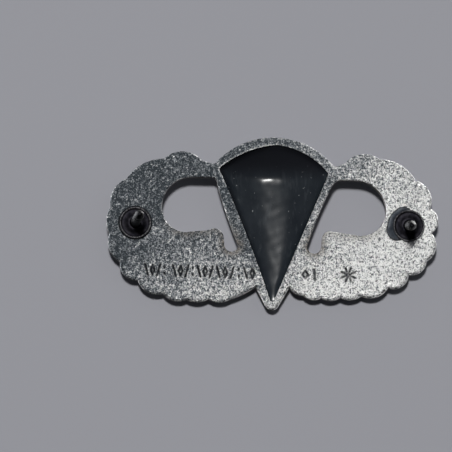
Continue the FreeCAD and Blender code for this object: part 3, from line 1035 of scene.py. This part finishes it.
def disc(node, name):
    """The stamped disc: a rounded rim, a flat floor and a low cone round the foot of the pin."""
    low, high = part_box(node)
    radius = (high.x - low.x) / 2 / MM
    foot, top = low.y / MM, high.y / MM
    profile = [(radius - 0.05, foot - 0.03), (radius, foot + 0.03)]
    profile += quarter(radius, DISC_RIM, 0.05, 4)
    profile += [(radius - RIM_INSET, DISC_RIM), (radius - 0.18, DISC_RIM - 0.05)]
    profile += [(radius - 0.24, DISC_PLATE)] + [(out, DISC_PLATE + rise) for out, rise in CONE]
    profile += [(0.82, top - 0.015), (0.72, top), (0.64, top - 0.01), (0.52, top - 0.05)]
    places, faces = turned(profile)
    out = np.hypot(places[:, 0], places[:, 2])
    worn = ridge(out - radius + RIM_INSET, 0.06) * (places[:, 1] > DISC_RIM - 0.07)
    post_piece(node, name, places, faces, worn)


SHANK = 0.55  # radius of the pin
LEAN_FROM = 0.6  # height at which it starts to lean
# the pin's outline from its foot to its tip, without the last rounding of the tip
PIN_FOOT = [(SHANK + 0.10, 0.44), (SHANK + 0.08, 0.50), (SHANK + 0.02, 0.56), (SHANK, 0.64)]
PIN_GROOVE = [(SHANK, 5.88), (0.50, 5.95), (0.425, 6.08), (0.41, 6.15), (0.425, 6.22), (0.50, 6.35),
              (SHANK, 6.42)]
PIN_TAPER = [(SHANK, 6.9), (0.54, 7.02), (0.50, 7.2), (0.44, 7.42), (0.36, 7.64), (0.26, 7.82)]


def pin(node, name, lean):
    """The pointed pin with its clutch groove, leaning a little as worn pins do."""
    _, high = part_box(node)
    top = high.y / MM
    profile = PIN_FOOT + [(SHANK, y) for y in np.arange(1.2, 5.8, 0.5)] + PIN_GROOVE + PIN_TAPER
    profile += [(0.17, top - 0.06), (0.08, top - 0.015), (0.01, top)]
    places, faces = turned(profile, lean, LEAN_FROM, top - LEAN_FROM)
    worn = 0.05 * ramp(places[:, 1], 7.1, 7.8)
    post_piece(node, name, places, faces, worn)


FILM_STEP = 0.12  # spacing of the solder film's points
FILM_EDGE_STEP = 0.10
FILM_GAP = 0.06  # the least distance from its edge to the points inside
FILM_SUNK = 0.06  # depth of its underside below the plane of the back


def film_mesh(corners, height, soft):
    """A low film with thinning edges over an outline, closed underneath."""
    loop = loop_points(corners, FILM_EDGE_STEP)
    tree = tree_of(loop)
    field = grid(FILM_STEP)
    field = field[within(field, loop)]
    points = np.concatenate([loop, field[distance_to(tree, field) > FILM_GAP]])
    count = len(points)
    faces = triangles(points, loop_edges(0, len(loop)), lambda middles: within(middles, loop))
    edge = distance_to(tree, points)
    rise = height * np.sqrt(1 - (1 - np.clip(edge / soft, 0, 1)) ** 2)
    rise += 0.008 * smooth_noise(points, 0.8, 31)
    upper = raised(points, np.where(edge > 0.01, rise, 0.0))
    lower = raised(points, np.full(count, -FILM_SUNK))
    side = band(np.arange(len(loop)), np.arange(len(loop)) + count)
    faces = faces[:, ::-1].tolist() + (faces + count).tolist() + side.tolist()
    thin = 1 - ramp(edge, 0.0, soft)
    return np.concatenate([upper, lower]), faces, np.concatenate([thin, thin])


def circle(x, radius):
    """A circle round a post as two bowed edges at the drawn width."""
    return [(x - radius, 0.0, radius), (x + radius, 0.0, radius)]


def solder_film(node, name, corners, height, soft):
    """The solder under a disc and what has run out beside it."""
    places, faces, thin = film_mesh(corners, height, soft)
    piece = new_piece(name, places, faces, [SOLDER_METAL], data={"worn": thin})
    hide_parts(node)


def badge():
    """The die-struck body."""
    places, faces, kinds, data = badge_mesh()
    materials = [back_silver(), hollow_metal(), front_silver(), wall_silver()]
    piece = new_piece("struck_badge", places, faces, materials, kinds, data)
    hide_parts("badge_body")


# the spill's own outline meets the disc's, so the visible film runs round both
SPILL_FILM = SOLDER_SPILL[:5] + [(-14.25, -1.65, 0.05), (-16.00, -1.10, 0.20), (-16.40, 0.60, 0.10)]


def posts():
    """Both posts, with their discs and their solder."""
    disc("right_pad", "right_disc")
    disc("left_pad", "left_disc")
    pin("right_pin", "right_post", (-0.35, 0.48))
    pin("left_pin", "left_post", (0.36, -0.48))
    right = post_axis("right_pad") / SCALE
    solder_film("right_solder", "right_solder_film", circle(right, 1.90), 0.08, 0.25)
    solder_film("left_solder", "left_solder_film", SPILL_FILM, 0.05, 0.45)


# ---- stage, lights and camera
PAPER = (0.292, 0.295, 0.324)
BACKDROP = (0.296, 0.301, 0.325)
WORN_PAPER = (0.272, 0.275, 0.302)
PAPER_HALF = 75  # half the sheet's side
PAPER_TOUCH = 4.5  # the height at which the crown is nearest to the sheet
PAPER_GAP = 0.35  # between the crown and the sheet there
PAPER_SLOPE = 0.105  # how much nearer the badge the sheet comes, per unit of height down


def paper_material():
    """Matt grey paper that shows only its side towards the badge."""
    s = Shader("paper")
    fibres = s.noise(0.6, 4.0, 0.6)
    colour = s.mix(s.stretch(fibres, 0.3, 0.7, 0.0, 0.05), PAPER, WORN_PAPER)
    s.finish(colour, 0.9, 0.0)
    s.surface.inputs["Specular IOR Level"].default_value = 0.1
    clear = s.node("ShaderNodeBsdfTransparent").outputs[0]
    back = s.node("ShaderNodeNewGeometry").outputs["Backfacing"]
    seen = s.either(back, s.surface.outputs[0], clear)
    s.feed(s.tree.nodes["Material Output"].inputs["Surface"], seen)
    return s.material


def paper():
    """The tilted sheet behind the badge. Only the camera sees it, and only from the badge's side."""
    half = PAPER_HALF
    near = -FRONT - PAPER_GAP + (half + PAPER_TOUCH) * PAPER_SLOPE
    far = -FRONT - PAPER_GAP - (half - PAPER_TOUCH) * PAPER_SLOPE
    corners = [(-half, near, -half), (-half, far, half), (half, far, half), (half, near, -half)]
    mesh = bpy.data.meshes.new("paper")
    mesh.from_pydata([[value * MM for value in corner] for corner in corners], [], [(0, 1, 2, 3)])
    mesh.materials.append(paper_material())
    sheet = bpy.data.objects.new("paper", mesh)
    bpy.context.scene.collection.objects.link(sheet)
    for rays in ("diffuse", "glossy", "transmission", "shadow"):
        setattr(sheet, "visible_" + rays, False)


ROOM_SHADES = [(0.30, (0.06, 0.06, 0.07)), (0.62, (0.42, 0.44, 0.48))]
ROOM_STRENGTH = 0.25


def room():
    """A dim grey room, darker below, and an even backdrop where the camera looks past the paper."""
    world = bpy.data.worlds.new("room")
    world.use_nodes = True
    n = Nodes(world.node_tree)
    n.tree.nodes.clear()
    direction = n.node("ShaderNodeTexCoord").outputs["Generated"]
    height = n.node("ShaderNodeSeparateXYZ", Vector=direction).outputs["Z"]
    shade = n.colours(n.stretch(height, -1.0, 1.0), ROOM_SHADES)
    lit = n.node("ShaderNodeBackground", Color=shade, Strength=ROOM_STRENGTH).outputs[0]
    seen = n.node("ShaderNodeBackground", Color=BACKDROP).outputs[0]
    to_camera = n.node("ShaderNodeLightPath").outputs["Is Camera Ray"]
    output = n.node("ShaderNodeOutputWorld")
    n.feed(output.inputs["Surface"], n.either(to_camera, lit, seen))
    bpy.context.scene.world = world


def lamp(name, direction, distance, size, power, colour, to_paper=True):
    """A square soft light at this distance in metres, facing the badge."""
    data = bpy.data.lights.new(name, "AREA")
    data.size = size
    data.energy = power
    data.color = colour
    light = bpy.data.objects.new(name, data)
    away = Vector(direction).normalized()
    light.location = away * distance
    light.rotation_mode = "QUATERNION"
    light.rotation_quaternion = away.to_track_quat("Z", "Y")
    bpy.context.scene.collection.objects.link(light)
    if not to_paper:
        keep_off_paper(data)


def keep_off_paper(data):
    """Leaves a lamp out of diffuse bounces, so that the badge's lit front doesn't lighten the paper."""
    data.use_nodes = True
    n = Nodes(data.node_tree)
    bounces = n.node("ShaderNodeLightPath").outputs["Diffuse Depth"]
    n.feed(n.tree.nodes["Emission"].inputs["Strength"], n.maths("LESS_THAN", bounces, 0.5))


def lamps():
    """The small key above and behind the camera, a weak broad fill, and three lights for the front."""
    lamp("key", (0.074, 0.974, 0.211), 0.60, 0.050, 3.3, (1.0, 0.995, 0.98))
    lamp("fill", (-0.45, 0.85, 0.25), 0.70, 0.50, 0.20, (0.97, 0.98, 1.0))
    lamp("front_key", (-0.45, -0.80, 0.55), 0.70, 0.40, 5.6, (1.0, 0.99, 0.97), False)
    lamp("front_low", (-0.65, -0.65, -0.38), 0.70, 0.60, 1.2, (0.98, 0.98, 1.0), False)
    lamp("front_fill", (0.75, -0.60, 0.20), 0.70, 0.60, 5.0, (0.96, 0.98, 1.0), False)


VIEW_DISTANCE = 0.4475  # in metres
VIEW_CENTRE = (5.3, 0.0, -0.26)
VIEW_ASIDE = 2.6  # how far the camera stands to +X of square on, in degrees
VIEW_BELOW = 3.8  # and how far below it
VIEW_ROLL = 0.5  # its turn about its own line of sight
LENS = 311


def camera():
    """A long lens almost square on to the back, with the badge to the right of the picture's middle."""
    data = bpy.data.cameras.new("camera")
    data.lens = LENS
    data.sensor_width = 36
    data.clip_start = 0.01
    data.clip_end = 10
    eye = bpy.data.objects.new("camera", data)
    aside, below = math.radians(VIEW_ASIDE), math.radians(VIEW_BELOW)
    level = math.cos(below)
    away = Vector((math.sin(aside) * level, math.cos(aside) * level, -math.sin(below)))
    eye.location = Vector(VIEW_CENTRE) * MM + away * VIEW_DISTANCE
    facing = away.to_track_quat("Z", "Y").to_matrix()
    half = math.radians(VIEW_ROLL) / 2
    roll = Quaternion((math.cos(half), 0, 0, math.sin(half)))
    eye.rotation_mode = "QUATERNION"
    eye.rotation_quaternion = facing.to_quaternion() @ roll
    bpy.context.scene.collection.objects.link(eye)
    bpy.context.scene.camera = eye


badge()
posts()
paper()
room()
lamps()
camera()
bpy.context.scene.view_settings.view_transform = "Standard"
